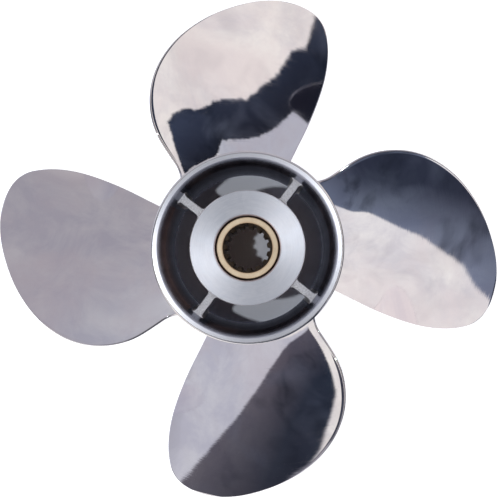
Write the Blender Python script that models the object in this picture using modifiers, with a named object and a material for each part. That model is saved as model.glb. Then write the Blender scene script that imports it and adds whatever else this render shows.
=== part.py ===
"""A four-blade, right-hand outboard propeller in polished stainless steel, with its exhaust
passing through the hub.

Metres, with +Z along the propeller's axis and pointing aft. The propeller stands on the front
rim of its hub barrel, with its axis upright, and the origin is in the middle of that rim.
The barrel, the blades, the ribs and the inner hub are one casting in the real propeller. Here
each of them is a solid of its own, with a gap of 0.3 mm where they would run together.
"""

import math

import bmesh
import bpy
import numpy as np

# Driving dimensions, in metres and radians
BLADE_COUNT = 4
FIRST_BLADE_ANGLE = math.radians(90)
TIP_RADIUS = 0.177
PITCH = 0.4826
RAKE = math.radians(14)
HUB_LENGTH = 0.127
HUB_RADIUS = 0.0603
FIT_GAP = 0.0003

# Hub barrel: a straight tube whose aft end flares out into a rounded lip
BARREL_BORE = 0.0558
FLARE_START = 0.102
FLARE_SHAPE = 1.8
LIP_RADIUS = 0.0645
LIP_MOUTH = 0.0604
LIP_ROUNDING = 0.0017
RIM_CHAMFER = 0.0010
TURNED_STEPS = 72
FLARE_STEPS = 5
ROUNDING_STEPS = 3

# Ribs that carry the inner hub in the barrel
FIRST_RIB_ANGLE = math.radians(53)
RIB_THICKNESS = 0.0057
RIB_FRONT = 0.0140
RIB_AFT = 0.1100
RIB_FILLET = 0.0026
RIB_FILLET_STEPS = 3

# Inner hub, rubber bush and splined sleeve, from the outside in
INNER_HUB_RADIUS = 0.0391
INNER_HUB_FRONT = 0.0100
INNER_HUB_AFT = 0.1130
BUSH_CAVITY_RADIUS = 0.0270
BUSH_CAVITY_END = 0.1070
HUB_MOUTH_RADIUS = 0.0221
HUB_MOUTH_CHAMFER = 0.0012
EDGE_CHAMFER = 0.0007
BUSH_FRONT = 0.0170
BUSH_AFT = 0.1030
SLEEVE_RADIUS = 0.0213
SLEEVE_FRONT = 0.0120
SLEEVE_AFT = 0.1110
LEAD_IN_RADIUS = 0.0170
LEAD_IN_DEPTH = 0.0050

# Spline of the sleeve
SPLINE_TEETH = 15
SPLINE_PHASE = math.radians(-2.4)
SPLINE_MINOR_RADIUS = 0.0140
SPLINE_MAJOR_RADIUS = 0.01595
SPACE_HALF_ANGLE_MINOR = math.radians(7.6)
SPACE_HALF_ANGLE_MAJOR = math.radians(4.5)

# Blade outline: the angle of each edge from the blade's centre line, in degrees, at every
# tenth of the way round the quarter circle that spaces the radii from the root to the tip
LEADING_EDGE = (-25.3, -25.6, -25.8, -25.3, -24.3, -22.7, -20.7, -18.4, -14.9, -9.6)
TRAILING_EDGE = (41.2, 40.2, 38.4, 34.1, 28.0, 20.2, 11.3, 2.7, -4.0, -9.6)
BLADE_MIDDLE_ANGLE = math.radians(7.5)
BLADE_MIDDLE_HEIGHT = 0.0600

# Blade section, with a cup along the trailing edge that starts over the root and runs out
# at the tip. SMALLEST keeps its width above zero
ROOT_THICKNESS = 0.0090
TIP_THICKNESS = 0.0024
EDGE_THICKNESS = 0.0020
SECTION_FULLNESS = 0.8
CUP_SLOPE = 0.16
CUP_WIDTH = 0.0050
CUP_SOFTNESS = 0.20
CUP_RISE = 0.0400
CUP_RUN_OUT = 4.0
SMALLEST = 0.00001
ROOT_FILLET = 0.0035
LEADING_FILLET = 0.0080
TRAILING_FILLET = 0.0160
CHORD_STEPS = 22
SPAN_STEPS = 12
FILLET_ROWS = (0.0, 0.0004, 0.0016, 0.0040, 0.0090)
CAP_STEPS = 6

STAINLESS = ("polished_stainless", (0.80, 0.80, 0.82), 1.0, 0.12)
CAST_STAINLESS = ("as_cast_stainless", (0.55, 0.55, 0.58), 1.0, 0.55)
TURNED_STAINLESS = ("turned_stainless", (0.70, 0.71, 0.74), 1.0, 0.30)
BRASS = ("brass", (0.72, 0.60, 0.40), 1.0, 0.35)
RUBBER = ("rubber", (0.02, 0.02, 0.02), 0.0, 0.80)


def clear_scene():
    for old in list(bpy.data.objects):
        bpy.data.objects.remove(old, do_unlink=True)


def new_collection(name):
    collection = bpy.data.collections.new(name)
    bpy.context.scene.collection.children.link(collection)
    return collection


def material(name, colour, metallic, roughness):
    made = bpy.data.materials.get(name)
    if made is None:
        made = bpy.data.materials.new(name)
        made.use_nodes = True
        shader = made.node_tree.nodes["Principled BSDF"]
        shader.inputs["Base Color"].default_value = (*colour, 1.0)
        shader.inputs["Metallic"].default_value = metallic
        shader.inputs["Roughness"].default_value = roughness
    return made


def add_object(name, data, collection, finish=None):
    made = bpy.data.objects.new(name, data)
    if finish:
        data.materials.append(material(*finish))
    collection.objects.link(made)
    return made


def smooth(mesh, degrees=35):
    mesh.shade_smooth()
    mesh.set_sharp_from_angle(angle=math.radians(degrees))


def arc(centre, radius, start, end, steps):
    """Points of an arc, from the start angle to the end angle in degrees."""
    angles = [math.radians(start + (end - start) * i / steps) for i in range(steps + 1)]
    return [(centre[0] + radius * math.cos(a), centre[1] + radius * math.sin(a)) for a in angles]


def turned(name, profile, collection, finish=None, steps=TURNED_STEPS):
    """A solid turned about Z from a closed profile of radii and heights."""
    mesh = bpy.data.meshes.new(name)
    points = [(radius, 0.0, height) for radius, height in profile]
    edges = [(i, (i + 1) % len(points)) for i in range(len(points))]
    mesh.from_pydata(points, edges, [])
    made = add_object(name, mesh, collection, finish)
    screw = made.modifiers.new("Turn", "SCREW")
    screw.steps = steps
    screw.render_steps = steps
    screw.use_merge_vertices = True
    screw.merge_threshold = 0.00001
    screw.use_smooth_shade = True
    return made


def extruded(name, outline, bottom, top, collection, finish=None):
    """A flat outline in XY, extruded between two heights."""
    curve = bpy.data.curves.new(name, "CURVE")
    curve.dimensions = "2D"
    curve.fill_mode = "BOTH"
    curve.extrude = (top - bottom) / 2
    spline = curve.splines.new("POLY")
    spline.points.add(len(outline) - 1)
    for point, (x, y) in zip(spline.points, outline):
        point.co = (x, y, 0.0, 1.0)
    spline.use_cyclic_u = True
    made = add_object(name, curve, collection, finish)
    made.location.z = (top + bottom) / 2
    return made


def as_mesh(curve_object, collection):
    """The closed mesh of an extruded curve, which can then cut another mesh."""
    bpy.context.view_layer.update()
    evaluated = curve_object.evaluated_get(bpy.context.evaluated_depsgraph_get())
    mesh = bpy.data.meshes.new_from_object(evaluated)
    welded = bmesh.new()
    welded.from_mesh(mesh)
    bmesh.ops.remove_doubles(welded, verts=welded.verts, dist=0.000001)
    welded.to_mesh(mesh)
    welded.free()
    name = curve_object.name
    made = bpy.data.objects.new(name + "_mesh", mesh)
    made.matrix_world = curve_object.matrix_world.copy()
    bpy.data.objects.remove(curve_object, do_unlink=True)
    collection.objects.link(made)
    made.hide_render = True
    made.display_type = "WIRE"
    return made


def barrel_radius(height):
    """The barrel's outer radius at a height: straight, then the flare's curve."""
    along = np.clip((height - FLARE_START) / (HUB_LENGTH - LIP_ROUNDING - FLARE_START), 0.0, 1.0)
    return HUB_RADIUS + (LIP_RADIUS - HUB_RADIUS) * along**FLARE_SHAPE


def mouth_radius(height):
    """The barrel's inner radius at a height."""
    along = np.clip((height - FLARE_START) / (HUB_LENGTH - FLARE_START), 0.0, 1.0)
    return BARREL_BORE + (LIP_MOUTH - BARREL_BORE) * along**FLARE_SHAPE


def make_outer_hub(parts):
    lip_centre = (LIP_RADIUS - LIP_ROUNDING, HUB_LENGTH - LIP_ROUNDING)
    profile = arc(lip_centre, LIP_ROUNDING, 90, 0, ROUNDING_STEPS)
    for i in range(1, FLARE_STEPS + 1):
        height = lip_centre[1] + (FLARE_START - lip_centre[1]) * i / FLARE_STEPS
        profile.append((float(barrel_radius(height)), height))
    profile.append((HUB_RADIUS, RIM_CHAMFER))
    profile.append((HUB_RADIUS - RIM_CHAMFER, 0.0))
    profile.append((BARREL_BORE + RIM_CHAMFER, 0.0))
    profile.append((BARREL_BORE, RIM_CHAMFER))
    for i in range(FLARE_STEPS + 1):
        height = FLARE_START + (HUB_LENGTH - FLARE_START) * i / FLARE_STEPS
        profile.append((float(mouth_radius(height)), height))
    turned("outer_hub", profile, parts, STAINLESS)


def rib_outline():
    """One rib along +X, with its ends spread into fillets where it meets the two walls."""
    inner = INNER_HUB_RADIUS + FIT_GAP
    outer = BARREL_BORE - FIT_GAP
    half = RIB_THICKNESS / 2
    spread = half + RIB_FILLET
    side = []
    for i in range(RIB_FILLET_STEPS + 1):
        turn = math.pi / 2 * i / RIB_FILLET_STEPS
        width = spread - RIB_FILLET * math.sin(turn)
        wall = math.sqrt(inner**2 - spread**2)
        side.append((wall + RIB_FILLET * (1 - math.cos(turn)), width))
    for i in range(RIB_FILLET_STEPS, -1, -1):
        turn = math.pi / 2 * i / RIB_FILLET_STEPS
        width = spread - RIB_FILLET * math.sin(turn)
        wall = math.sqrt(outer**2 - spread**2)
        side.append((wall - RIB_FILLET * (1 - math.cos(turn)), width))
    inner_wall = [(math.sqrt(inner**2 - y**2), y) for y in (-half, 0.0, half)]
    outer_wall = [(math.sqrt(outer**2 - y**2), y) for y in (half, 0.0, -half)]
    other_side = [(x, -y) for x, y in reversed(side)]
    return inner_wall + side + outer_wall + other_side


def make_ribs(parts):
    outline = rib_outline()
    for number in range(BLADE_COUNT):
        rib = extruded(f"hub_rib_{number + 1}", outline, RIB_FRONT, RIB_AFT, parts, CAST_STAINLESS)
        rib.rotation_euler.z = FIRST_RIB_ANGLE + 2 * math.pi * number / BLADE_COUNT


def make_inner_hub(parts):
    profile = [
        (INNER_HUB_RADIUS - EDGE_CHAMFER, INNER_HUB_AFT),
        (INNER_HUB_RADIUS, INNER_HUB_AFT - EDGE_CHAMFER),
        (INNER_HUB_RADIUS, INNER_HUB_FRONT + EDGE_CHAMFER),
        (INNER_HUB_RADIUS - EDGE_CHAMFER, INNER_HUB_FRONT),
        (BUSH_CAVITY_RADIUS + EDGE_CHAMFER, INNER_HUB_FRONT),
        (BUSH_CAVITY_RADIUS, INNER_HUB_FRONT + EDGE_CHAMFER),
        (BUSH_CAVITY_RADIUS, BUSH_CAVITY_END),
        (HUB_MOUTH_RADIUS, BUSH_CAVITY_END),
        (HUB_MOUTH_RADIUS, INNER_HUB_AFT - HUB_MOUTH_CHAMFER),
        (HUB_MOUTH_RADIUS + HUB_MOUTH_CHAMFER, INNER_HUB_AFT),
    ]
    turned("inner_hub", profile, parts, TURNED_STAINLESS)


def make_rubber_bush(parts):
    outer = BUSH_CAVITY_RADIUS - FIT_GAP
    inner = SLEEVE_RADIUS + FIT_GAP
    profile = [
        (outer - EDGE_CHAMFER, BUSH_AFT),
        (outer, BUSH_AFT - EDGE_CHAMFER),
        (outer, BUSH_FRONT + EDGE_CHAMFER),
        (outer - EDGE_CHAMFER, BUSH_FRONT),
        (inner, BUSH_FRONT),
        (inner, BUSH_AFT),
    ]
    turned("rubber_bush", profile, parts, RUBBER)


def spline_cutter_outline():
    """The fifteen spaces between the teeth, joined inside the circle of the tooth tips."""
    inside = SPLINE_MINOR_RADIUS - 0.0006
    points = []
    for number in range(SPLINE_TEETH):
        middle = 2 * math.pi * number / SPLINE_TEETH
        for radius, turn in (
            (inside, -SPACE_HALF_ANGLE_MINOR),
            (SPLINE_MAJOR_RADIUS, -SPACE_HALF_ANGLE_MAJOR),
            (SPLINE_MAJOR_RADIUS, SPACE_HALF_ANGLE_MAJOR),
            (inside, SPACE_HALF_ANGLE_MINOR),
        ):
            points.append((radius * math.cos(middle + turn), radius * math.sin(middle + turn)))
    return points


def make_splined_sleeve(parts, cutters):
    """A brass sleeve whose spline starts in a cone at each end."""
    profile = [
        (SLEEVE_RADIUS - EDGE_CHAMFER, SLEEVE_AFT),
        (SLEEVE_RADIUS, SLEEVE_AFT - EDGE_CHAMFER),
        (SLEEVE_RADIUS, SLEEVE_FRONT + EDGE_CHAMFER),
        (SLEEVE_RADIUS - EDGE_CHAMFER, SLEEVE_FRONT),
        (LEAD_IN_RADIUS, SLEEVE_FRONT),
        (SPLINE_MINOR_RADIUS, SLEEVE_FRONT + LEAD_IN_DEPTH),
        (SPLINE_MINOR_RADIUS, SLEEVE_AFT - LEAD_IN_DEPTH),
        (LEAD_IN_RADIUS, SLEEVE_AFT),
    ]
    sleeve = turned("splined_sleeve", profile, parts, BRASS, steps=4 * SPLINE_TEETH)
    sleeve.rotation_euler.z = SPLINE_PHASE
    flat = extruded("spline_spaces", spline_cutter_outline(), 0.0, HUB_LENGTH, cutters)
    flat.rotation_euler.z = SPLINE_PHASE
    cut = sleeve.modifiers.new("Spline", "BOOLEAN")
    cut.object = as_mesh(flat, cutters)
    cut.operation = "DIFFERENCE"
    cut.solver = "EXACT"


def smooth_between(values, place):
    """A smooth curve through evenly spaced values, read at places from 0 to the last one."""
    values = np.asarray(values, float)
    before = np.concatenate([[2 * values[0] - values[1]], values, [2 * values[-1] - values[-2]]])
    place = np.clip(np.asarray(place, float), 0.0, len(values) - 1.0)
    index = np.minimum(place.astype(int), len(values) - 2)
    t = place - index
    p0, p1, p2, p3 = (before[index + i] for i in range(4))
    bend = 2 * p0 - 5 * p1 + 4 * p2 - p3
    return p1 + 0.5 * t * (p2 - p0 + t * (bend + t * (3 * (p1 - p2) + p3 - p0)))


def edge_angles(quarter):
    """The angles of both edges, in radians, at a place from 0, the root, to 1, the tip."""
    last = len(LEADING_EDGE) - 1
    round_the_tip = LEADING_EDGE + TRAILING_EDGE[-2::-1]
    leading = smooth_between(round_the_tip, last * quarter)
    trailing = smooth_between(round_the_tip, 2 * last - last * quarter)
    return np.radians(leading), np.radians(trailing)


def fillet(radius, height):
    """How far a fillet spreads at a height over the surface that it runs into."""
    rest = np.clip(radius - height, 0.0, radius)
    return radius - np.sqrt(radius**2 - rest**2)


def blade_sides(height, chord):
    """Points of the pressure side and of the suction side, as arrays of (angle, radius, z).

    height is how far each row stands over the barrel, and chord runs from 0 at the leading
    edge to 1 at the trailing edge.
    """
    height, chord = np.meshgrid(height, chord, indexing="ij")
    advance = PITCH / (2 * math.pi)
    root = HUB_RADIUS + FIT_GAP
    span = TIP_RADIUS - root
    radius = root + height
    quarter = np.arcsin(np.clip(height / span, 0.0, 1.0)) / (math.pi / 2)
    leading, trailing = edge_angles(quarter)
    along = np.hypot(radius, advance)
    leading = leading - fillet(LEADING_FILLET, height) / along
    trailing = trailing + fillet(TRAILING_FILLET, height) / along
    angle = leading + (trailing - leading) * chord
    length = (trailing - leading) * along
    z = BLADE_MIDDLE_HEIGHT + math.tan(RAKE) * height + advance * (angle - BLADE_MIDDLE_ANGLE)

    outward = np.clip(1 - height / span, 0.0, 1.0)
    to_edge = np.minimum(np.minimum(chord, 1 - chord) * length, span * outward)
    blunt = EDGE_THICKNESS / 2 + fillet(ROOT_FILLET, height)
    closing = np.sqrt(1 - (1 - np.clip(to_edge / blunt, 0.0, 1.0)) ** 2)
    full = TIP_THICKNESS + (ROOT_THICKNESS - TIP_THICKNESS) * outward**1.3
    belly = (full - EDGE_THICKNESS) * (4 * chord * (1 - chord)) ** SECTION_FULLNESS
    width = CUP_WIDTH * np.clip(height / CUP_RISE, 0.0, 1.0) * np.clip(outward * CUP_RUN_OUT, 0.0, 1.0)
    into_cup = np.clip(1 - (1 - chord) * length / np.maximum(width, SMALLEST), 0.0, 1.0)
    cup = CUP_SLOPE * width * (np.hypot(into_cup, CUP_SOFTNESS) - CUP_SOFTNESS)

    sides = []
    for offset in (cup + blunt * closing, cup - (blunt + belly) * closing):
        turn = -offset * advance / (radius * along)
        side_z = z + offset * radius / along
        lift = (barrel_radius(side_z) - HUB_RADIUS) * outward**4
        sides.append(np.stack([angle + turn, radius + lift, side_z], axis=-1))
    return sides


def to_xyz(polar):
    angle, radius, z = np.moveaxis(polar, -1, 0)
    return np.stack([radius * np.cos(angle), radius * np.sin(angle), z], axis=-1)


def root_cap(pressure_row, suction_row):
    """Rows of points on the barrel, with the fitting gap, between the two sides' first rows."""
    rows = []
    for i in range(CAP_STEPS + 1):
        row = pressure_row + (suction_row - pressure_row) * i / CAP_STEPS
        row[:, 1] = barrel_radius(row[:, 2]) + FIT_GAP
        rows.append(row)
    return np.stack(rows)


def blade_rows():
    span = TIP_RADIUS - HUB_RADIUS - FIT_GAP
    start = math.asin(FILLET_ROWS[-1] / span)
    quarter = np.linspace(start, math.pi / 2, SPAN_STEPS + 1)
    return np.concatenate([FILLET_ROWS[:-1], span * np.sin(quarter)])


def blade_mesh():
    """One blade about the +X direction: two sides that share their edge, and the root's cap."""
    turn = np.linspace(0.0, math.pi, CHORD_STEPS + 1)
    chord = (1 - np.cos(turn)) / 2
    pressure, suction = blade_sides(blade_rows(), chord)
    cap = root_cap(pressure[0].copy(), suction[0].copy())
    mesh = bmesh.new()
    for grid, outward in ((pressure, True), (suction, False), (cap, False)):
        points = to_xyz(grid)
        verts = [[mesh.verts.new(point) for point in row] for row in points]
        for lower, upper in zip(verts, verts[1:]):
            for i in range(len(lower) - 1):
                corners = [lower[i], upper[i], upper[i + 1], lower[i + 1]]
                mesh.faces.new(corners[::-1] if outward else corners)
    bmesh.ops.remove_doubles(mesh, verts=mesh.verts, dist=0.00001)
    bmesh.ops.dissolve_degenerate(mesh, edges=mesh.edges, dist=0.00001)
    bmesh.ops.triangulate(mesh, faces=mesh.faces)
    bmesh.ops.recalc_face_normals(mesh, faces=mesh.faces)
    made = bpy.data.meshes.new("blade")
    mesh.to_mesh(made)
    mesh.free()
    smooth(made, 50)
    made.materials.append(material(*STAINLESS))
    return made


def make_blades(parts):
    mesh = blade_mesh()
    for number in range(BLADE_COUNT):
        blade = add_object(f"blade_{number + 1}", mesh, parts)
        blade.rotation_euler.z = FIRST_BLADE_ANGLE + 2 * math.pi * number / BLADE_COUNT


def main():
    clear_scene()
    parts = new_collection("outboard_propeller")
    cutters = new_collection("cutters")
    cutters.hide_render = True
    make_outer_hub(parts)
    make_blades(parts)
    make_ribs(parts)
    make_inner_hub(parts)
    make_rubber_bush(parts)
    make_splined_sleeve(parts, cutters)


main()
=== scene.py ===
"""Looks of a four-blade outboard propeller, seen from straight aft along its axis.

Metres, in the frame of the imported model: +Z runs along the axis and points aft, and the
propeller stands on its front rim on a pale floor.
"""

import math

import bmesh
import bpy
import numpy as np
from mathutils import Matrix, Vector, noise


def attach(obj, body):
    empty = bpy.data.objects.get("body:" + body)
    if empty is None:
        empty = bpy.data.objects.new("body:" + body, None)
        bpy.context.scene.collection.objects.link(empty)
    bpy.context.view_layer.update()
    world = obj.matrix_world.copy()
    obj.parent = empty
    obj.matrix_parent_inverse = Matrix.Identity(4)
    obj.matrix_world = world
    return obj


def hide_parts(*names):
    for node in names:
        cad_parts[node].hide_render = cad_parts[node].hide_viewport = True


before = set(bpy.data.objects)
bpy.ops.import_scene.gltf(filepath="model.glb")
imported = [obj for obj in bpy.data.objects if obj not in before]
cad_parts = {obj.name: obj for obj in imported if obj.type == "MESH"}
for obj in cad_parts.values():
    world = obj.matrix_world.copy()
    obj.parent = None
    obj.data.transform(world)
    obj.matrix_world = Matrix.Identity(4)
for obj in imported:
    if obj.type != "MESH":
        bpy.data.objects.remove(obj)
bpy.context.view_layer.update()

# Sizes of the propeller, in metres and radians
BLADE_COUNT = 4
FIRST_BLADE_ANGLE = math.radians(90)
TIP_RADIUS = 0.1769
PITCH = 0.4826
RAKE = math.radians(14)
HUB_LENGTH = 0.127
HUB_RADIUS = 0.0603
BARREL_BORE = 0.0558
FLARE_START = 0.102
LIP_RADIUS = 0.0645
LIP_MOUTH = 0.0604
LIP_ROUNDING = 0.0017
FLARE_SHAPE = 1.8
# Radius where the painted light on the barrel's inner wall begins, towards the lip's mouth
MOUTH_FADE = 0.0570
RIM_CHAMFER = 0.0010

FIRST_RIB_ANGLE = math.radians(53)
RIB_THICKNESS = 0.0057
RIB_FRONT = 0.0140
RIB_AFT = 0.1100
RIB_FILLET = 0.0026
RIB_EDGE = 0.0006

INNER_HUB_RADIUS = 0.0391
INNER_HUB_FRONT = 0.0100
INNER_HUB_AFT = 0.1130
BUSH_CAVITY_RADIUS = 0.0270
BUSH_CAVITY_END = 0.1070
HUB_MOUTH_RADIUS = 0.0221
HUB_MOUTH_CHAMFER = 0.0012
EDGE_CHAMFER = 0.0007

SLEEVE_RADIUS = 0.0213
SLEEVE_FRONT = 0.0120
SLEEVE_AFT = 0.1110
LEAD_IN_RADIUS = 0.0170
LEAD_IN_DEPTH = 0.0050
SPLINE_TEETH = 15
SPLINE_PHASE = math.radians(-2.4)
SPLINE_MINOR_RADIUS = 0.0140
SPLINE_MAJOR_RADIUS = 0.01595
SPACE_HALF_ANGLE_MINOR = 6.9
SPACE_HALF_ANGLE_MAJOR = 4.5

# Blade outline: the angle of each edge from the blade's centre line, in degrees, at every
# tenth of the way round the quarter circle that spaces the radii from the root to the tip
LEADING_EDGE = (-25.3, -25.6, -25.8, -25.3, -24.3, -22.7, -20.7, -18.4, -14.9, -9.6)
TRAILING_EDGE = (41.2, 40.2, 38.4, 34.1, 28.0, 20.2, 11.3, 2.7, -4.0, -9.6)
BLADE_MIDDLE_ANGLE = math.radians(7.5)
BLADE_MIDDLE_HEIGHT = 0.0600

# Blade section, with a cup along the trailing edge. SMALLEST keeps the cup's width above zero
ROOT_THICKNESS = 0.0090
TIP_THICKNESS = 0.0024
EDGE_THICKNESS = 0.0020
SECTION_FULLNESS = 0.8
CUP_SLOPE = 0.16
CUP_WIDTH = 0.0032
CUP_SOFTNESS = 0.20
CUP_RISE = 0.0400
CUP_RUN_OUT = 4.0
SMALLEST = 0.00001
ROOT_FILLET = 0.0035
LEADING_FILLET = 0.0080
TRAILING_FILLET = 0.0160

# How far pieces that run into each other are sunk, so that no gap shows between them
SINK = 0.00002
CHORD_STEPS = 120
SPAN_STEPS = 64
FILLET_STEPS = 14
CAP_STEPS = 6
TURNED_STEPS = 288

# Camera: straight aft of the hub, slightly to the right of and below its axis
CAMERA_PLACE = (0.0077, -0.0080, HUB_LENGTH + 0.9000)
CAMERA_TARGET = (0.0008, -0.0015, HUB_LENGTH)
FOCAL_PIXELS = 1355.0
IMAGE_HEIGHT = 500.0
SENSOR = 36.0

# Lamp to the left of the camera, small enough to throw crisp shadows through the hub
LAMP_PLACE = (-0.245, -0.055, 1.380)
LAMP_RADIUS = 0.016
LAMP_POWER = 22.0
LAMP_COLOUR = (0.93, 0.96, 1.0)

# Studio: azimuths from +X and elevations, in degrees. The dark screens stand between two edges
DARK_FROM = (
    (-180, 5), (-172, -1), (-165, -5), (-140, -8), (-134, 60), (-123, 60), (-121, 41.5),
    (-118.8, 39.3), (-116, 37.3), (-111.5, 35), (-107, 31), (-100, 24), (-95.5, 18.5),
    (-84, 7), (-80, 0), (-70, -9), (-44, -9), (-38, 18), (-31, 18), (-26, 12), (-21, 7), (-15, 3),
    (-7, 1), (5, 1), (8, -3), (12, -7), (34, -9), (38, 60), (142, 60), (146, 40), (153, 32),
    (180, 5),
)
DARK_TO = (
    (-180, 34.8), (-176.5, 33.0), (-172, 29), (-167, 25), (-162, 20.7), (-158, 14.5), (-154.5, 6.5),
    (-151, -8), (-134, -8), (-128, 70), (-36, 70), (-34.8, 60), (-33.4, 35.4), (-28, 33.2),
    (-25, 28), (-18, 22), (-12, 18), (0, 17.5), (8, 15.5), (14, 17.5), (21, 16), (34, -9),
    (142, -9), (146, 70), (168, 70), (172, 38), (176, 36.2), (180, 34.8),
)
LIGHT_UNDER = (
    (-180, (0.62, 0.62, 0.69)), (-140, (0.62, 0.62, 0.69)), (-134, (0.95, 0.91, 0.90)),
    (-70, (0.92, 0.90, 0.91)), (-44, (0.53, 0.55, 0.63)), (8, (0.53, 0.55, 0.63)),
    (12, (0.80, 0.78, 0.78)), (34, (0.80, 0.78, 0.78)), (142, (0.62, 0.62, 0.69)),
    (180, (0.62, 0.62, 0.69)),
)
LIGHT_OVER = (
    (-180, (0.95, 0.91, 0.88)), (-60, (0.95, 0.89, 0.87)), (36, (0.93, 0.88, 0.86)),
    (54, (0.43, 0.41, 0.45)), (85, (0.44, 0.42, 0.47)), (115, (0.52, 0.52, 0.58)),
    (138, (0.50, 0.50, 0.55)), (146, (0.62, 0.62, 0.69)), (180, (0.62, 0.62, 0.69)),
)
DARK_NEAR = (
    (-180, (0.125, 0.115, 0.145)), (-140, (0.110, 0.102, 0.130)), (-130, (0.25, 0.28, 0.38)),
    (-60, (0.17, 0.20, 0.28)), (-44, (0.016, 0.018, 0.028)), (40, (0.016, 0.018, 0.028)),
    (140, (0.140, 0.130, 0.155)), (180, (0.125, 0.115, 0.145)),
)
DARK_FAR = (
    (-180, (0.030, 0.036, 0.055)), (-150, (0.020, 0.028, 0.050)), (-130, (0.030, 0.036, 0.060)),
    (-60, (0.035, 0.042, 0.068)), (-44, (0.025, 0.032, 0.055)), (40, (0.045, 0.058, 0.100)),
    (140, (0.045, 0.046, 0.060)), (180, (0.030, 0.036, 0.055)),
)
HAZE_DEPTH = 20.0
# Round the foot of the propeller
TABLE_EDGE = -8.0
TABLE = (
    (-180, (0.72, 0.73, 0.80)), (-172, (0.72, 0.73, 0.80)), (-168, (0.95, 0.91, 0.88)),
    (-128, (0.95, 0.91, 0.88)), (-122, (1.18, 1.13, 1.10)), (-78, (1.18, 1.13, 1.10)),
    (-72, (0.05, 0.06, 0.09)), (-44, (0.05, 0.06, 0.09)), (-38, (0.60, 0.60, 0.66)),
    (-32, (0.60, 0.60, 0.66)), (-28, (0.016, 0.018, 0.030)), (12, (0.016, 0.018, 0.030)),
    (16, (0.82, 0.79, 0.78)), (35, (0.82, 0.79, 0.78)), (55, (0.54, 0.54, 0.59)),
    (140, (0.56, 0.56, 0.62)), (150, (0.72, 0.73, 0.80)), (180, (0.72, 0.73, 0.80)),
)
UNDERSIDE = (0.12, 0.12, 0.14)
NADIR = (0.030, 0.032, 0.042)
CEILING = (0.34, 0.34, 0.36)
CEILING_SHADE = (0.012, 0.010, 0.035)
ZENITH = (0.14, 0.125, 0.130)


def rgb(colour):
    return (*colour, 1.0)


class Tree:
    """Adds nodes to the node tree of a material or of the world."""

    def __init__(self, owner):
        owner.use_nodes = True
        self.nodes = owner.node_tree.nodes
        self.links = owner.node_tree.links

    def put(self, socket, value):
        if isinstance(value, bpy.types.NodeSocket):
            self.links.new(value, socket)
        else:
            socket.default_value = value

    def add(self, kind, inputs=(), **settings):
        node = self.nodes.new(kind)
        for name, value in settings.items():
            setattr(node, name, value)
        for key, value in dict(inputs).items():
            self.put(node.inputs[key], value)
        return node

    def calc(self, operation, *values):
        node = self.add("ShaderNodeMath", enumerate(values), operation=operation)
        return node.outputs[0]

    def vector(self, x, y, z):
        return self.add("ShaderNodeCombineXYZ", {0: x, 1: y, 2: z}).outputs[0]

    def split(self, vector):
        return self.add("ShaderNodeSeparateXYZ", {0: vector}).outputs

    def noise(self, vector, scale, detail=3.0, roughness=0.5, distortion=0.0):
        inputs = {
            "Vector": vector,
            "Scale": scale,
            "Detail": detail,
            "Roughness": roughness,
            "Distortion": distortion,
        }
        return self.add("ShaderNodeTexNoise", inputs).outputs[0]

    def ranged(self, value, low, high, to_low=0.0, to_high=1.0):
        inputs = enumerate((value, low, high, to_low, to_high))
        return self.add("ShaderNodeMapRange", inputs).outputs[0]

    def mixed(self, factor, first, second):
        inputs = {0: factor, 6: first, 7: second}
        return self.add("ShaderNodeMix", data_type="RGBA", inputs=inputs).outputs[2]

    def screens(self, degrees, stops):
        """Colours all round the studio, from pairs of an azimuth and a colour."""
        ramp = self.add("ShaderNodeValToRGB", {0: self.ranged(degrees, -180.0, 180.0)})
        ramp.color_ramp.elements.remove(ramp.color_ramp.elements[1])
        ramp.color_ramp.elements[0].color = rgb(stops[0][1])
        for azimuth, colour in stops[1:]:
            ramp.color_ramp.elements.new((azimuth + 180) / 360).color = rgb(colour)
        return ramp.outputs[0]

    def edge(self, degrees, stops):
        """The elevation of an edge all round the studio, from pairs of an azimuth and an elevation."""
        height = self.screens(degrees, [(azimuth, 3 * ((value + 90) / 180,)) for azimuth, value in stops])
        return self.ranged(self.split(height)[0], 0.0, 1.0, -90.0, 90.0)

    def bump(self, *layers):
        """Layers of (height, distance), one on top of the other."""
        normal = None
        for height, distance in layers:
            node = self.add("ShaderNodeBump", {"Height": height, "Distance": distance})
            if normal:
                self.put(node.inputs["Normal"], normal)
            normal = node.outputs[0]
        return normal


def coordinates(tree):
    """The place on the propeller, its three coordinates and its distance from the axis."""
    place = tree.add("ShaderNodeTexCoord").outputs["Object"]
    x, y, z = tree.split(place)
    radius = tree.calc("SQRT", tree.calc("ADD", tree.calc("MULTIPLY", x, x), tree.calc("MULTIPLY", y, y)))
    return place, x, y, z, radius


def new_metal(name):
    made = bpy.data.materials.new(name)
    tree = Tree(made)
    shader = tree.nodes["Principled BSDF"]
    shader.inputs["Metallic"].default_value = 1.0
    return made, tree, shader


def strokes(tree, radius, x, y, fineness, length):
    """Fine polishing marks that run round the axis."""
    across = tree.calc("MULTIPLY", radius, fineness)
    along = [tree.calc("MULTIPLY", value, 1 / length) for value in (x, y)]
    return tree.noise(tree.vector(across, *along), 1.0, 2.0, 0.6)


def brushed_round(tree, shader):
    """Spread the gloss across marks that run round the axis."""
    tangent = tree.add("ShaderNodeTangent", direction_type="RADIAL", axis="Z").outputs[0]
    tree.put(shader.inputs["Tangent"], tangent)
    shader.inputs["Anisotropic"].default_value = 0.94
    shader.inputs["Anisotropic Rotation"].default_value = 0.25


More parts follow.
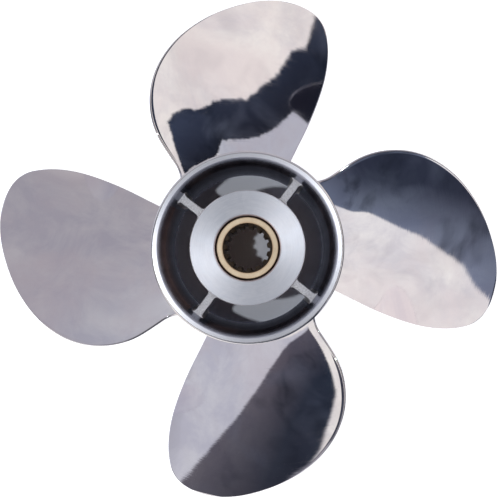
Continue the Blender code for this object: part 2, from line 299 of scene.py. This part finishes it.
def polished_stainless():
    made, tree, shader = new_metal("polished_stainless")
    place, x, y, z, radius = coordinates(tree)
    clouds = tree.noise(place, 24.0, 6.0, 0.62, 0.5)
    blotches = tree.noise(place, 13.0, 5.0, 0.6, 0.3)
    marks = strokes(tree, radius, x, y, 1600.0, 0.050)
    tint = tree.mixed(tree.ranged(clouds, 0.38, 0.62), rgb((0.71, 0.70, 0.75)), rgb((0.88, 0.87, 0.87)))
    tree.put(shader.inputs["Base Color"], tree.mixed(
        tree.ranged(blotches, 0.46, 0.62, 0.0, 0.7), tint, rgb((0.80, 0.745, 0.765))))
    worn = tree.ranged(blotches, 0.38, 0.62, 0.0, 0.07)
    haze = tree.calc("MULTIPLY", worn, tree.ranged(marks, 0.45, 0.75))
    tree.put(shader.inputs["Roughness"], tree.calc("ADD", haze, tree.ranged(clouds, 0.4, 0.75, 0.02, 0.04)))
    wave = tree.noise(place, 26.0, 1.0)
    tree.put(shader.inputs["Normal"], tree.bump((wave, 0.00012), (marks, 0.000004)))
    return made


def barrel_stainless():
    """Polished outside, turned on top of the lip, with painted shade inside that lightens to painted light
    towards the mouth.
    """
    made, tree, shader = new_metal("barrel_stainless")
    place, x, y, z, radius = coordinates(tree)
    brushed_round(tree, shader)
    clouds = tree.noise(place, 40.0, 5.0, 0.55, 0.4)
    marks = strokes(tree, radius, x, y, 2500.0, 0.020)
    shade_streaks = tree.noise(tree.vector(x, y, tree.calc("MULTIPLY", z, 0.04)), 160.0, 3.0, 0.6)
    flare = tree.calc("POWER", tree.ranged(z, FLARE_START, HUB_LENGTH), FLARE_SHAPE)
    middle = tree.ranged(flare, 0.0, 1.0, HUB_RADIUS - 0.0028, LIP_MOUTH + 0.0001)
    inside = tree.calc("LESS_THAN", radius, middle)
    flat = tree.ranged(radius, LIP_RADIUS - LIP_ROUNDING, LIP_RADIUS - LIP_ROUNDING + 0.0003, 1.0, 0.0)
    lip = tree.calc("MULTIPLY", tree.ranged(z, HUB_LENGTH - 0.0005, HUB_LENGTH - 0.0002), flat)
    steel = tree.mixed(tree.ranged(clouds, 0.35, 0.65), rgb((0.78, 0.775, 0.80)), rgb((0.85, 0.84, 0.84)))
    turned = tree.mixed(tree.ranged(marks, 0.3, 0.7), rgb((0.66, 0.67, 0.72)), rgb((0.76, 0.77, 0.81)))
    # Painted shade: the inner wall is coloured dark navy with streaks, standing in for the shade inside the
    # barrel.
    dark = tree.mixed(tree.ranged(shade_streaks, 0.35, 0.65), rgb((0.13, 0.15, 0.21)), rgb((0.28, 0.30, 0.38)))
    # Painted light: the inner wall turns lighter towards the lip's mouth, where light reaches in.
    mouth = tree.calc("POWER", tree.ranged(radius, MOUTH_FADE, LIP_MOUTH), 2.0)
    dark = tree.mixed(mouth, dark, rgb((0.66, 0.67, 0.74)))
    outside = tree.mixed(lip, steel, turned)
    tree.put(shader.inputs["Base Color"], tree.mixed(inside, outside, dark))
    smooth = tree.ranged(marks, 0.4, 0.8, 0.05, 0.12)
    satin = tree.ranged(marks, 0.3, 0.7, 0.44, 0.52)
    rough = tree.calc("ADD", smooth, tree.calc("MULTIPLY", lip, tree.calc("SUBTRACT", satin, smooth)))
    worn = tree.calc("ADD", 0.18, tree.calc("MULTIPLY", mouth, 0.34))
    tree.put(shader.inputs["Roughness"], tree.calc("MAXIMUM", rough, tree.calc("MULTIPLY", inside, worn)))
    return made


def turned_stainless():
    """A satin turned face over as-cast walls whose dark brown colour is painted shade."""
    made, tree, shader = new_metal("turned_stainless")
    place, x, y, z, radius = coordinates(tree)
    brushed_round(tree, shader)
    clouds = tree.noise(place, 110.0, 5.0, 0.6, 0.5)
    marks = strokes(tree, radius, x, y, 2200.0, 0.012)
    face = tree.ranged(z, INNER_HUB_AFT - 0.0013, INNER_HUB_AFT - 0.0002)
    bright = tree.mixed(tree.ranged(clouds, 0.35, 0.65), rgb((0.70, 0.72, 0.77)), rgb((0.82, 0.83, 0.87)))
    bright = tree.mixed(tree.ranged(marks, 0.3, 0.8, 0.0, 0.45), bright, rgb((0.56, 0.58, 0.64)))
    # Painted shade: the walls below the face are coloured dark brown, standing in for the shade in the
    # annulus.
    dark = tree.mixed(tree.ranged(clouds, 0.35, 0.65), rgb((0.24, 0.14, 0.12)), rgb((0.42, 0.27, 0.23)))
    tree.put(shader.inputs["Base Color"], tree.mixed(face, dark, bright))
    tree.put(shader.inputs["Roughness"], tree.ranged(clouds, 0.3, 0.7, 0.54, 0.60))
    return made


def cast_stainless():
    made, tree, shader = new_metal("as_cast_stainless")
    place = coordinates(tree)[0]
    grain = tree.noise(place, 900.0, 4.0, 0.65)
    stains = tree.noise(place, 150.0, 3.0, 0.6)
    metal = tree.mixed(tree.ranged(grain, 0.35, 0.65), rgb((0.46, 0.46, 0.48)), rgb((0.78, 0.78, 0.80)))
    tree.put(shader.inputs["Base Color"], tree.mixed(
        tree.ranged(stains, 0.5, 0.75, 0.0, 0.6), metal, rgb((0.42, 0.40, 0.40))))
    tree.put(shader.inputs["Roughness"], tree.ranged(grain, 0.3, 0.7, 0.50, 0.68))
    tree.put(shader.inputs["Normal"], tree.bump((grain, 0.0004)))
    return made


def brass():
    made, tree, shader = new_metal("brass")
    place, x, y, z, radius = coordinates(tree)
    stains = tree.noise(place, 120.0, 5.0, 0.65, 0.5)
    specks = tree.noise(place, 900.0, 3.0, 0.6)
    metal = tree.mixed(tree.ranged(stains, 0.35, 0.65), rgb((0.50, 0.40, 0.28)), rgb((0.70, 0.59, 0.43)))
    metal = tree.mixed(tree.ranged(specks, 0.5, 0.8, 0.0, 0.5), metal, rgb((0.55, 0.42, 0.28)))
    # Painted shade: the face darkens to brown at its outer rim and at the bore's mouth, where it drops into
    # the gap and the bore.
    rim = tree.ranged(radius, SLEEVE_RADIUS - 0.0014, SLEEVE_RADIUS - 0.0004, 0.0, 0.7)
    mouth = tree.ranged(radius, LEAD_IN_RADIUS, LEAD_IN_RADIUS + 0.0010, 0.8, 0.0)
    metal = tree.mixed(tree.calc("MAXIMUM", rim, mouth), metal, rgb((0.40, 0.27, 0.17)))
    face = tree.ranged(z, SLEEVE_AFT - 0.0006, SLEEVE_AFT - 0.0002)
    # Painted shade: everything but the aft face, the bore and teeth included, is coloured dark brass,
    # standing in for the shade inside the hub.
    bore = tree.mixed(tree.ranged(stains, 0.35, 0.65), rgb((0.16, 0.12, 0.09)), rgb((0.30, 0.24, 0.18)))
    tree.put(shader.inputs["Base Color"], tree.mixed(face, bore, metal))
    tree.put(shader.inputs["Roughness"], tree.ranged(stains, 0.3, 0.7, 0.52, 0.60))
    tree.put(shader.inputs["Normal"], tree.bump((specks, 0.00003)))
    return made


def rubber():
    made = bpy.data.materials.new("rubber")
    tree = Tree(made)
    shader = tree.nodes["Principled BSDF"]
    grain = tree.noise(coordinates(tree)[0], 900.0, 3.0)
    black = tree.mixed(grain, rgb((0.010, 0.010, 0.011)), rgb((0.028, 0.028, 0.030)))
    tree.put(shader.inputs["Base Color"], black)
    tree.put(shader.inputs["Roughness"], tree.ranged(grain, 0.3, 0.7, 0.6, 0.85))
    tree.put(shader.inputs["Normal"], tree.bump((grain, 0.0002)))
    return made


def add_piece(name, mesh, material, slot, *nodes):
    """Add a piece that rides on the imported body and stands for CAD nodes."""
    mesh.materials.append(material)
    piece = bpy.data.objects.new(name, mesh)
    bpy.context.scene.collection.objects.link(piece)
    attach(piece, "root")
    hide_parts(*nodes)
    return piece


def arc(centre, radius, start, end, steps):
    """Points of an arc, from the start angle to the end angle in degrees."""
    angles = [math.radians(start + (end - start) * i / steps) for i in range(steps + 1)]
    return [(centre[0] + radius * math.cos(a), centre[1] + radius * math.sin(a)) for a in angles]


def grid_mesh(name, grids, closed=False, capped=False, sharp=40):
    """A mesh of grids of points, welded where they share points.

    closed joins the end of each row to its start, and capped closes the first and last rows.
    """
    mesh = bmesh.new()
    for points in grids:
        verts = [[mesh.verts.new(point) for point in row] for row in points]
        if capped:
            mesh.faces.new(verts[0])
            mesh.faces.new(verts[-1])
        if closed:
            verts = [row + row[:1] for row in verts]
        for lower, upper in zip(verts, verts[1:]):
            for i in range(len(lower) - 1):
                mesh.faces.new([lower[i], upper[i], upper[i + 1], lower[i + 1]])
    bmesh.ops.remove_doubles(mesh, verts=mesh.verts, dist=0.000002)
    bmesh.ops.dissolve_degenerate(mesh, edges=mesh.edges, dist=0.000002)
    bmesh.ops.recalc_face_normals(mesh, faces=mesh.faces)
    made = bpy.data.meshes.new(name)
    mesh.to_mesh(made)
    mesh.free()
    made.shade_smooth()
    made.set_sharp_from_angle(angle=math.radians(sharp))
    return made


def turned_mesh(name, profile, sharp=40):
    """A closed profile of radii and heights, turned about Z."""
    turns = np.linspace(0.0, 2 * math.pi, TURNED_STEPS, endpoint=False)
    rows = [[(r * math.cos(a), r * math.sin(a), z) for a in turns] for r, z in profile + profile[:1]]
    return grid_mesh(name, [rows], closed=True, sharp=sharp)


def barrel_radius(height):
    along = np.clip((height - FLARE_START) / (HUB_LENGTH - LIP_ROUNDING - FLARE_START), 0.0, 1.0)
    return HUB_RADIUS + (LIP_RADIUS - HUB_RADIUS) * along**FLARE_SHAPE


def mouth_radius(height):
    along = np.clip((height - FLARE_START) / (HUB_LENGTH - FLARE_START), 0.0, 1.0)
    return BARREL_BORE + (LIP_MOUTH - BARREL_BORE) * along**FLARE_SHAPE


def barrel_mesh():
    lip_centre = (LIP_RADIUS - LIP_ROUNDING, HUB_LENGTH - LIP_ROUNDING)
    profile = arc(lip_centre, LIP_ROUNDING, 90, 0, 10)
    for height in np.linspace(lip_centre[1], FLARE_START, 25)[1:]:
        profile.append((float(barrel_radius(height)), float(height)))
    for height in np.linspace(FLARE_START, RIM_CHAMFER, 12)[1:]:
        profile.append((HUB_RADIUS, float(height)))
    profile.append((HUB_RADIUS - RIM_CHAMFER, 0.0))
    profile.append((BARREL_BORE + RIM_CHAMFER, 0.0))
    for height in np.linspace(RIM_CHAMFER, FLARE_START, 12):
        profile.append((BARREL_BORE, float(height)))
    for height in np.linspace(FLARE_START, HUB_LENGTH, 25)[1:]:
        profile.append((float(mouth_radius(height)), float(height)))
    return turned_mesh("barrel", profile)


def smooth_between(values, place):
    """A smooth curve through evenly spaced values, read at places from 0 to the last one."""
    values = np.asarray(values, float)
    before = np.concatenate([[2 * values[0] - values[1]], values, [2 * values[-1] - values[-2]]])
    place = np.clip(np.asarray(place, float), 0.0, len(values) - 1.0)
    index = np.minimum(place.astype(int), len(values) - 2)
    t = place - index
    p0, p1, p2, p3 = (before[index + i] for i in range(4))
    bend = 2 * p0 - 5 * p1 + 4 * p2 - p3
    return p1 + 0.5 * t * (p2 - p0 + t * (bend + t * (3 * (p1 - p2) + p3 - p0)))


def edge_angles(quarter):
    """The angles of both edges, in radians, at a place from 0, the root, to 1, the tip."""
    last = len(LEADING_EDGE) - 1
    round_the_tip = LEADING_EDGE + TRAILING_EDGE[-2::-1]
    leading = smooth_between(round_the_tip, last * quarter)
    trailing = smooth_between(round_the_tip, 2 * last - last * quarter)
    return np.radians(leading), np.radians(trailing)


def fillet(radius, height):
    """How far a fillet spreads at a height over the surface that it runs into."""
    rest = np.clip(radius - height, 0.0, radius)
    return radius - np.sqrt(radius**2 - rest**2)


def blade_sides(height, chord):
    """Points of the pressure and the suction side, as arrays of (angle, radius, z).

    height is how far each row stands over the barrel, and chord runs from 0 at the leading
    edge to 1 at the trailing edge.
    """
    height, chord = np.meshgrid(height, chord, indexing="ij")
    advance = PITCH / (2 * math.pi)
    root = HUB_RADIUS - SINK
    span = TIP_RADIUS - root
    radius = root + height
    quarter = np.arcsin(np.clip(height / span, 0.0, 1.0)) / (math.pi / 2)
    leading, trailing = edge_angles(quarter)
    along = np.hypot(radius, advance)
    leading = leading - fillet(LEADING_FILLET, height) / along
    trailing = trailing + fillet(TRAILING_FILLET, height) / along
    angle = leading + (trailing - leading) * chord
    length = (trailing - leading) * along
    z = BLADE_MIDDLE_HEIGHT + math.tan(RAKE) * height + advance * (angle - BLADE_MIDDLE_ANGLE)

    outward = np.clip(1 - height / span, 0.0, 1.0)
    to_edge = np.minimum(np.minimum(chord, 1 - chord) * length, span * outward)
    blunt = EDGE_THICKNESS / 2 + fillet(ROOT_FILLET, height)
    closing = np.sqrt(1 - (1 - np.clip(to_edge / blunt, 0.0, 1.0)) ** 2)
    full = TIP_THICKNESS + (ROOT_THICKNESS - TIP_THICKNESS) * outward**1.3
    belly = (full - EDGE_THICKNESS) * (4 * chord * (1 - chord)) ** SECTION_FULLNESS
    width = CUP_WIDTH * np.clip(height / CUP_RISE, 0.0, 1.0) * np.clip(outward * CUP_RUN_OUT, 0.0, 1.0)
    into_cup = np.clip(1 - (1 - chord) * length / np.maximum(width, SMALLEST), 0.0, 1.0)
    cup = CUP_SLOPE * width * (np.hypot(into_cup, CUP_SOFTNESS) - CUP_SOFTNESS)

    sides = []
    for offset in (cup + blunt * closing, cup - (blunt + belly) * closing):
        turn = -offset * advance / (radius * along)
        side_z = z + offset * radius / along
        lift = (barrel_radius(side_z) - HUB_RADIUS) * outward**4
        sides.append(np.stack([angle + turn, radius + lift, side_z], axis=-1))
    return sides


def to_xyz(polar):
    angle, radius, z = np.moveaxis(polar, -1, 0)
    return np.stack([radius * np.cos(angle), radius * np.sin(angle), z], axis=-1)


def root_cap(pressure_row, suction_row):
    """Rows of points just inside the barrel, between the two sides' first rows."""
    rows = []
    for i in range(CAP_STEPS + 1):
        row = pressure_row + (suction_row - pressure_row) * i / CAP_STEPS
        row[:, 1] = barrel_radius(row[:, 2]) - SINK
        rows.append(row)
    return np.stack(rows)


def blade_rows():
    """Heights over the barrel: close together in the fillet, and towards the tip."""
    span = TIP_RADIUS - HUB_RADIUS + SINK
    turn = np.linspace(0.0, math.pi / 2, FILLET_STEPS + 1)
    low = TRAILING_FILLET * (1 - np.cos(turn))
    quarter = np.linspace(math.asin(low[-1] / span), math.pi / 2, SPAN_STEPS + 1)
    return np.concatenate([low[:-1], span * np.sin(quarter)])


def blade_mesh(number):
    chord = (1 - np.cos(np.linspace(0.0, math.pi, CHORD_STEPS + 1))) / 2
    pressure, suction = blade_sides(blade_rows(), chord)
    cap = root_cap(pressure[0].copy(), suction[0].copy())
    made = grid_mesh("blade", [to_xyz(side) for side in (pressure, suction, cap)], sharp=60)
    turn = FIRST_BLADE_ANGLE + 2 * math.pi * number / BLADE_COUNT
    made.transform(Matrix.Rotation(turn, 4, "Z"))
    return made


def inner_hub_mesh():
    profile = [
        (INNER_HUB_RADIUS - EDGE_CHAMFER, INNER_HUB_AFT),
        (INNER_HUB_RADIUS, INNER_HUB_AFT - EDGE_CHAMFER),
        (INNER_HUB_RADIUS, INNER_HUB_FRONT + EDGE_CHAMFER),
        (INNER_HUB_RADIUS - EDGE_CHAMFER, INNER_HUB_FRONT),
        (BUSH_CAVITY_RADIUS + EDGE_CHAMFER, INNER_HUB_FRONT),
        (BUSH_CAVITY_RADIUS, INNER_HUB_FRONT + EDGE_CHAMFER),
        (BUSH_CAVITY_RADIUS, BUSH_CAVITY_END),
        (HUB_MOUTH_RADIUS, BUSH_CAVITY_END),
        (HUB_MOUTH_RADIUS, INNER_HUB_AFT - HUB_MOUTH_CHAMFER),
        (HUB_MOUTH_RADIUS + HUB_MOUTH_CHAMFER, INNER_HUB_AFT),
    ]
    return turned_mesh("inner_hub", profile, sharp=20)


def rib_section():
    """One rib's cross-section: pairs of a side, from -1 to 1, and a height, with an inset."""
    points = []
    for side in (1, -1):
        turns = np.linspace(0, 90, 5)
        rise = [(side, height, 0.0) for height in np.linspace(RIB_FRONT + RIB_EDGE, FLARE_START, 20)]
        rise += [(side, h, 0.0) for h in np.linspace(FLARE_START, RIB_AFT - RIB_EDGE, 7)[1:-1]]
        over = [(side, RIB_AFT - RIB_EDGE + RIB_EDGE * math.sin(math.radians(t)),
                 RIB_EDGE * (1 - math.cos(math.radians(t)))) for t in turns]
        under = [(side, RIB_FRONT + RIB_EDGE - RIB_EDGE * math.sin(math.radians(t)),
                  RIB_EDGE * (1 - math.cos(math.radians(t)))) for t in turns[:0:-1]]
        across = [(side * s, RIB_AFT, RIB_EDGE) for s in (0.75, 0.5, 0.25)]
        back = [(side * s, RIB_FRONT, RIB_EDGE) for s in (0.25, 0.5, 0.75)]
        strip = back + under + rise + over + across
        points += strip if side == 1 else strip[::-1]
    return points


def rib_mesh(number):
    """A rib from wall to wall, with filleted ends and a slightly uneven, cast surface."""
    inner = INNER_HUB_RADIUS - SINK
    rows = []
    for along in (1 - np.cos(np.linspace(0.0, math.pi, 49))) / 2:
        row = []
        for side, height, inset in rib_section():
            outer = float(mouth_radius(height)) + SINK
            to_wall = min(along, 1 - along) * (outer - inner)
            half = RIB_THICKNESS / 2 + float(fillet(RIB_FILLET, to_wall)) - inset
            y = side * half
            x = math.sqrt(inner**2 - y**2) + along * (math.sqrt(outer**2 - y**2) - math.sqrt(inner**2 - y**2))
            uneven = noise.noise(Vector((x, y, height)) * 260.0 + Vector((number * 7.0, 0, 0)))
            rise = 0.0002 * uneven if height > FLARE_START else 0.0
            row.append((x, y + side * 0.00025 * uneven, height + rise))
        rows.append(row)
    made = grid_mesh("rib", [rows], closed=True, capped=True, sharp=50)
    turn = FIRST_RIB_ANGLE + 2 * math.pi * number / BLADE_COUNT
    made.transform(Matrix.Rotation(turn, 4, "Z"))
    return made


def spline_radius(degrees):
    """The bore's radius at an angle from the middle of a space between two teeth."""
    flank = (abs(degrees) - SPACE_HALF_ANGLE_MAJOR) / (SPACE_HALF_ANGLE_MINOR - SPACE_HALF_ANGLE_MAJOR)
    depth = SPLINE_MAJOR_RADIUS - SPLINE_MINOR_RADIUS
    return SPLINE_MAJOR_RADIUS - depth * min(max(flank, 0.0), 1.0)


def sleeve_mesh():
    half_pitch = 180 / SPLINE_TEETH
    one_side = (1.0, 3.0, 4.5, 5.3, 6.1, 6.9, 8.6, 10.2)
    offsets = (*(-offset for offset in one_side[::-1]), *one_side, half_pitch)
    outer = [
        (SLEEVE_RADIUS - EDGE_CHAMFER, SLEEVE_FRONT),
        (SLEEVE_RADIUS, SLEEVE_FRONT + EDGE_CHAMFER),
        (SLEEVE_RADIUS, SLEEVE_AFT - EDGE_CHAMFER),
        (SLEEVE_RADIUS - EDGE_CHAMFER, SLEEVE_AFT),
    ]
    depths = np.linspace(0.0, LEAD_IN_DEPTH, 11)
    heights = [float(SLEEVE_AFT - d) for d in depths] + [float(SLEEVE_FRONT + d) for d in depths[::-1]]
    angles = []
    for tooth in range(SPLINE_TEETH):
        middle = SPLINE_PHASE + 2 * math.pi * tooth / SPLINE_TEETH
        angles += [(middle + math.radians(offset), spline_radius(offset)) for offset in offsets]
    rows = [[(r * math.cos(a), r * math.sin(a), z) for a, bore in angles] for r, z in outer]
    for z in heights:
        depth = min(SLEEVE_AFT - z, z - SLEEVE_FRONT)
        slope = (LEAD_IN_RADIUS - SPLINE_MINOR_RADIUS) / LEAD_IN_DEPTH
        cone = LEAD_IN_RADIUS - slope * depth
        rows.append([(max(bore, cone) * math.cos(a), max(bore, cone) * math.sin(a), z) for a, bore in angles])
    rows.append(rows[0])
    return grid_mesh("sleeve", [rows], closed=True, sharp=30)


def finish_node(name, material):
    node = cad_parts[name]
    node.data.materials.clear()
    node.data.materials.append(material)


def make_floor():
    """A pale floor. The light that hides its edge stays outside the hub.

    The metal mirrors the studio's table and underside in its place.
    """
    mesh = grid_mesh("floor", [[[(x, y, 0.0) for y in (-6.0, 6.0)] for x in (-6.0, 6.0)]])
    floor = bpy.data.objects.new("floor", mesh)
    bpy.context.scene.collection.objects.link(floor)
    made = bpy.data.materials.new("floor")
    tree = Tree(made)
    output = tree.nodes["Material Output"]
    tree.nodes.remove(tree.nodes["Principled BSDF"])
    radius = coordinates(tree)[4]
    outside = tree.ranged(radius, 0.0575, 0.0595)
    paper = tree.add("ShaderNodeBsdfDiffuse", {"Color": rgb((0.78, 0.80, 0.86))}).outputs[0]
    seen = tree.add("ShaderNodeLightPath").outputs["Is Camera Ray"]
    strength = tree.calc("MULTIPLY", tree.calc("MULTIPLY", seen, outside), 0.90)
    glow = tree.add("ShaderNodeEmission", {"Color": rgb((1.0, 1.0, 1.0)), "Strength": strength}).outputs[0]
    tree.put(output.inputs[0], tree.add("ShaderNodeAddShader", {0: paper, 1: glow}).outputs[0])
    mesh.materials.append(made)
    floor.visible_glossy = False


def make_world():
    """The soft studio round the propeller: tall light and dark screens, and a ceiling."""
    world = bpy.data.worlds.new("studio")
    bpy.context.scene.world = world
    tree = Tree(world)
    look = tree.add("ShaderNodeTexCoord").outputs["Generated"]
    x, y, z = tree.split(look)
    azimuth = tree.calc("DEGREES", tree.calc("ARCTAN2", y, x))
    level = tree.calc("DEGREES", tree.calc("ARCSINE", z))
    ragged = tree.ranged(tree.noise(look, 22.0, 4.0, 0.6), 0.25, 0.75, -0.9, 0.9)
    ragged = tree.calc("MULTIPLY", ragged, tree.ranged(tree.calc("ABSOLUTE", azimuth), 42.0, 50.0, 1.0, 0.3))
    elevation = tree.calc("ADD", level, ragged)
    clouds = tree.noise(look, 5.5, 4.0, 0.55, 0.6)
    drifts = tree.noise(look, 3.0, 3.0, 0.5, 0.8)

    over_edge = tree.calc("SUBTRACT", elevation, tree.edge(azimuth, DARK_FROM))
    under_edge = tree.calc("SUBTRACT", tree.edge(azimuth, DARK_TO), elevation)
    inside = tree.calc("MULTIPLY", tree.ranged(over_edge, -0.5, 0.5), tree.ranged(under_edge, -0.5, 0.5))
    far = tree.ranged(over_edge, 0.0, HAZE_DEPTH)
    dark = tree.mixed(far, tree.screens(azimuth, DARK_NEAR), tree.screens(azimuth, DARK_FAR))
    dark = tree.mixed(tree.ranged(clouds, 0.50, 0.75, 0.0, 0.7), dark, rgb((0.010, 0.013, 0.022)))
    dark = tree.mixed(tree.ranged(drifts, 0.52, 0.75, 0.0, 0.35), dark, rgb((0.13, 0.15, 0.21)))
    under = tree.ranged(under_edge, -0.5, 0.5)
    light = tree.mixed(under, tree.screens(azimuth, LIGHT_OVER), tree.screens(azimuth, LIGHT_UNDER))
    light = tree.mixed(tree.ranged(clouds, 0.45, 0.70, 0.0, 0.28), light, rgb((0.50, 0.46, 0.49)))
    colour = tree.mixed(inside, light, dark)

    shade = tree.ranged(tree.calc("ABSOLUTE", azimuth), 25.0, 50.0, 1.0, 0.0)
    ceiling = tree.mixed(tree.calc("MULTIPLY", shade, tree.ranged(level, 60.0, 70.0, 1.0, 0.0)),
                         rgb(CEILING), rgb(CEILING_SHADE))
    ceiling = tree.mixed(tree.ranged(level, 63.0, 69.0), ceiling, rgb(ZENITH))
    colour = tree.mixed(tree.ranged(level, 45.0, 49.0), colour, ceiling)
    table = tree.mixed(tree.ranged(level, -50.0, -40.0), rgb(UNDERSIDE), tree.screens(azimuth, TABLE))
    table = tree.mixed(tree.ranged(level, -78.0, -70.0), rgb(NADIR), table)
    colour = tree.mixed(tree.ranged(elevation, TABLE_EDGE - 0.5, TABLE_EDGE + 0.5), table, colour)
    seen = tree.add("ShaderNodeLightPath").outputs["Is Camera Ray"]
    tree.put(tree.nodes["Background"].inputs["Color"], tree.mixed(seen, colour, rgb((1.0, 1.0, 1.0))))


def make_lamp():
    data = bpy.data.lights.new("lamp", "POINT")
    data.energy = LAMP_POWER
    data.color = LAMP_COLOUR
    data.shadow_soft_size = LAMP_RADIUS
    lamp = bpy.data.objects.new("lamp", data)
    bpy.context.scene.collection.objects.link(lamp)
    lamp.location = LAMP_PLACE


def make_camera():
    data = bpy.data.cameras.new("camera")
    data.sensor_width = SENSOR
    data.lens = FOCAL_PIXELS * SENSOR / IMAGE_HEIGHT
    camera = bpy.data.objects.new("camera", data)
    bpy.context.scene.collection.objects.link(camera)
    back = (Vector(CAMERA_PLACE) - Vector(CAMERA_TARGET)).normalized()
    right = Vector((0.0, 1.0, 0.0)).cross(back).normalized()
    turn = Matrix((right, back.cross(right), back)).transposed().to_4x4()
    camera.matrix_world = Matrix.Translation(CAMERA_PLACE) @ turn
    bpy.context.scene.camera = camera


def main():
    bpy.context.scene.view_settings.view_transform = "Standard"
    steel = polished_stainless()
    cast = cast_stainless()
    for number in range(BLADE_COUNT):
        blade = f"blade_{number + 1}"
        add_piece(f"{blade}_polished", blade_mesh(number), steel, "polished_stainless", blade)
        rib = f"hub_rib_{number + 1}"
        add_piece(f"{rib}_cast", rib_mesh(number), cast, "as_cast_stainless", rib)
    add_piece("barrel_flared", barrel_mesh(), barrel_stainless(), "barrel_stainless", "outer_hub")
    add_piece("inner_hub_turned", inner_hub_mesh(), turned_stainless(), "turned_stainless", "inner_hub")
    add_piece("sleeve_splined", sleeve_mesh(), brass(), "brass", "splined_sleeve")
    finish_node("rubber_bush", rubber())
    make_floor()
    make_world()
    make_lamp()
    make_camera()


main()
